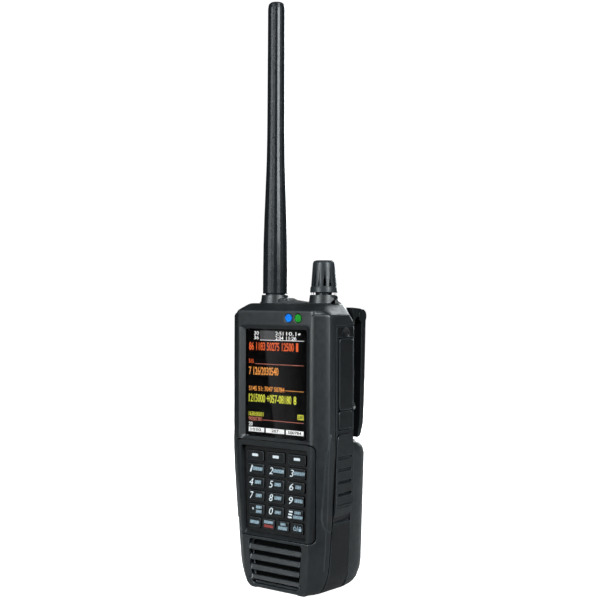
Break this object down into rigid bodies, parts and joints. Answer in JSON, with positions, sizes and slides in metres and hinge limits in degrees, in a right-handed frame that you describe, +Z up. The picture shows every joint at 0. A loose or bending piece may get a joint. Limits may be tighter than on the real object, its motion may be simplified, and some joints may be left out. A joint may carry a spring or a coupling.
{
  "type": "handheld aviation radio",
  "caption": "Slim handheld radio with a whip antenna, control knob, colour screen over a keypad and speaker grille, a deep battery door and a sprung belt clip.",
  "frame": {"origin": "centre of the bounding box in plan, at the underside of the feet", "axes": "+Z up along the antenna, -Y towards the user (the screen side), +X to the user's right (the knob side)"},
  "size_m": [0.0632, 0.046, 0.3063],
  "materials": {
    "case": "fine-textured moulded plastic, charcoal",
    "clip": "fine-textured moulded plastic, near black",
    "keys": "satin, near black, with pale printed digits",
    "knob": "satin fluted rubber over plastic",
    "rubber": "matt black rubber",
    "grip": "matt soft-touch rubber",
    "lens": "clear gloss window over a black screen",
    "led_blue": "blue translucent dome",
    "led_green": "green translucent dome",
    "board": "green solder mask",
    "battery": "slate grey sleeve",
    "card": "black",
    "steel": "plated steel",
    "brass": "gold-plated brass"
  },
  "bodies": {
    "case": {"front_case": "case", "rear_case": "case", "keypad_bezel": "case", "clip_bracket": "clip", "display_lens": "lens", "display_module": "steel", "speaker_mesh": "steel", "speaker": "steel", "keypad_mat": "rubber", "main_board": "board", "shield_can": "steel", "encoder_body": "steel", "antenna_socket": "brass", "led_lens_blue": "led_blue", "led_lens_green": "led_green", "port_cover_anchor": "rubber", "headphone_jack": "steel", "usb_socket": "steel", "grip_right": "grip", "grip_left": "grip", "battery_pack": "battery", "battery_contacts": "brass", "clip_pin": "steel", "clip_spring": "steel", "clip_screw_left": "steel", "clip_screw_right": "steel", "case_screw_left": "steel", "case_screw_right": "steel", "memory_card": "card"},
    "key_soft_left_body": {"key_soft_left": "keys"},
    "key_soft_middle_body": {"key_soft_middle": "keys"},
    "key_soft_right_body": {"key_soft_right": "keys"},
    "key_1_body": {"key_1": "keys"},
    "key_2_body": {"key_2": "keys"},
    "key_3_body": {"key_3": "keys"},
    "key_4_body": {"key_4": "keys"},
    "key_5_body": {"key_5": "keys"},
    "key_6_body": {"key_6": "keys"},
    "key_7_body": {"key_7": "keys"},
    "key_8_body": {"key_8": "keys"},
    "key_9_body": {"key_9": "keys"},
    "key_point_body": {"key_point": "keys"},
    "key_0_body": {"key_0": "keys"},
    "key_enter_body": {"key_enter": "keys"},
    "key_skip_body": {"key_skip": "keys"},
    "key_replay_body": {"key_replay": "keys"},
    "key_range_body": {"key_range": "keys"},
    "key_power_body": {"key_power": "keys"},
    "side_key_upper_body": {"side_key_upper": "rubber"},
    "side_key_lower_body": {"side_key_lower": "rubber"},
    "encoder_plunger_body": {"encoder_plunger": "steel"},
    "knob_body": {"encoder_shaft": "steel", "control_knob": "knob"},
    "antenna_core_body": {"antenna_ferrule": "brass"},
    "antenna_whip_body": {"antenna_whip": "rubber"},
    "port_cover_body": {"port_cover": "rubber"},
    "clip_arm_body": {"clip_arm": "clip"},
    "battery_door_body": {"battery_door": "case"},
    "battery_latch_body": {"battery_latch": "case"}
  },
  "joints": [
    {"name": "key_soft_left_press", "type": "slide", "parent": "case", "child": "key_soft_left_body", "axis": [0, 1, 0], "range_m": [0, 0.0008], "stiffness_N_per_m": 1500},
    {"name": "key_soft_middle_press", "type": "slide", "parent": "case", "child": "key_soft_middle_body", "axis": [0, 1, 0], "range_m": [0, 0.0008], "stiffness_N_per_m": 1500},
    {"name": "key_soft_right_press", "type": "slide", "parent": "case", "child": "key_soft_right_body", "axis": [0, 1, 0], "range_m": [0, 0.0008], "stiffness_N_per_m": 1500},
    {"name": "key_1_press", "type": "slide", "parent": "case", "child": "key_1_body", "axis": [0, 1, 0], "range_m": [0, 0.0008], "stiffness_N_per_m": 1500},
    {"name": "key_2_press", "type": "slide", "parent": "case", "child": "key_2_body", "axis": [0, 1, 0], "range_m": [0, 0.0008], "stiffness_N_per_m": 1500},
    {"name": "key_3_press", "type": "slide", "parent": "case", "child": "key_3_body", "axis": [0, 1, 0], "range_m": [0, 0.0008], "stiffness_N_per_m": 1500},
    {"name": "key_4_press", "type": "slide", "parent": "case", "child": "key_4_body", "axis": [0, 1, 0], "range_m": [0, 0.0008], "stiffness_N_per_m": 1500},
    {"name": "key_5_press", "type": "slide", "parent": "case", "child": "key_5_body", "axis": [0, 1, 0], "range_m": [0, 0.0008], "stiffness_N_per_m": 1500},
    {"name": "key_6_press", "type": "slide", "parent": "case", "child": "key_6_body", "axis": [0, 1, 0], "range_m": [0, 0.0008], "stiffness_N_per_m": 1500},
    {"name": "key_7_press", "type": "slide", "parent": "case", "child": "key_7_body", "axis": [0, 1, 0], "range_m": [0, 0.0008], "stiffness_N_per_m": 1500},
    {"name": "key_8_press", "type": "slide", "parent": "case", "child": "key_8_body", "axis": [0, 1, 0], "range_m": [0, 0.0008], "stiffness_N_per_m": 1500},
    {"name": "key_9_press", "type": "slide", "parent": "case", "child": "key_9_body", "axis": [0, 1, 0], "range_m": [0, 0.0008], "stiffness_N_per_m": 1500},
    {"name": "key_point_press", "type": "slide", "parent": "case", "child": "key_point_body", "axis": [0, 1, 0], "range_m": [0, 0.0008], "stiffness_N_per_m": 1500},
    {"name": "key_0_press", "type": "slide", "parent": "case", "child": "key_0_body", "axis": [0, 1, 0], "range_m": [0, 0.0008], "stiffness_N_per_m": 1500},
    {"name": "key_enter_press", "type": "slide", "parent": "case", "child": "key_enter_body", "axis": [0, 1, 0], "range_m": [0, 0.0008], "stiffness_N_per_m": 1500},
    {"name": "key_skip_press", "type": "slide", "parent": "case", "child": "key_skip_body", "axis": [0, 1, 0], "range_m": [0, 0.0008], "stiffness_N_per_m": 1500},
    {"name": "key_replay_press", "type": "slide", "parent": "case", "child": "key_replay_body", "axis": [0, 1, 0], "range_m": [0, 0.0008], "stiffness_N_per_m": 1500},
    {"name": "key_range_press", "type": "slide", "parent": "case", "child": "key_range_body", "axis": [0, 1, 0], "range_m": [0, 0.0008], "stiffness_N_per_m": 1500},
    {"name": "key_power_press", "type": "slide", "parent": "case", "child": "key_power_body", "axis": [0, 1, 0], "range_m": [0, 0.0008], "stiffness_N_per_m": 1500},
    {"name": "side_key_upper_press", "type": "slide", "parent": "case", "child": "side_key_upper_body", "axis": [1, 0, 0], "range_m": [0, 0.0008], "stiffness_N_per_m": 2000},
    {"name": "side_key_lower_press", "type": "slide", "parent": "case", "child": "side_key_lower_body", "axis": [1, 0, 0], "range_m": [0, 0.0008], "stiffness_N_per_m": 2000},
    {"name": "knob_press", "type": "slide", "parent": "case", "child": "encoder_plunger_body", "axis": [0, 0, -1], "range_m": [0, 0.0005], "stiffness_N_per_m": 4000},
    {"name": "knob_turn", "type": "hinge", "parent": "encoder_plunger_body", "child": "knob_body", "pos_m": [0.01575, -0.0015, 0.16], "axis": [0, 0, 1], "continuous": true},
    {"name": "antenna_rise", "type": "slide", "parent": "case", "child": "antenna_core_body", "axis": [0, 0, 1], "range_m": [0, 0.003]},
    {"name": "antenna_turn", "type": "hinge", "parent": "antenna_core_body", "child": "antenna_whip_body", "pos_m": [-0.01575, -0.0015, 0.16], "axis": [0, 0, 1], "range_deg": [0, 1440]},
    {"name": "port_cover_open", "type": "hinge", "parent": "case", "child": "port_cover_body", "pos_m": [0.0315, -0.00375, 0.0931], "axis": [0, 1, 0], "range_deg": [0, 130], "stiffness_Nm_per_rad": 0.0004},
    {"name": "clip_squeeze", "type": "hinge", "parent": "case", "child": "clip_arm_body", "pos_m": [0, 0.0162, 0.1404], "axis": [1, 0, 0], "range_deg": [0, 25], "stiffness_Nm_per_rad": 0.5, "springref_deg": -17.19},
    {"name": "battery_door_off", "type": "slide", "parent": "case", "child": "battery_door_body", "axis": [0, 1, 0], "range_m": [0, 0.02]},
    {"name": "battery_latch_slide", "type": "slide", "parent": "battery_door_body", "child": "battery_latch_body", "axis": [0, 0, 1], "range_m": [0, 0.003], "stiffness_N_per_m": 400}
  ],
  "couplings": [
    {"joint": "antenna_rise", "follows": "antenna_turn", "m_per_rad": 0.000111}
  ]
}
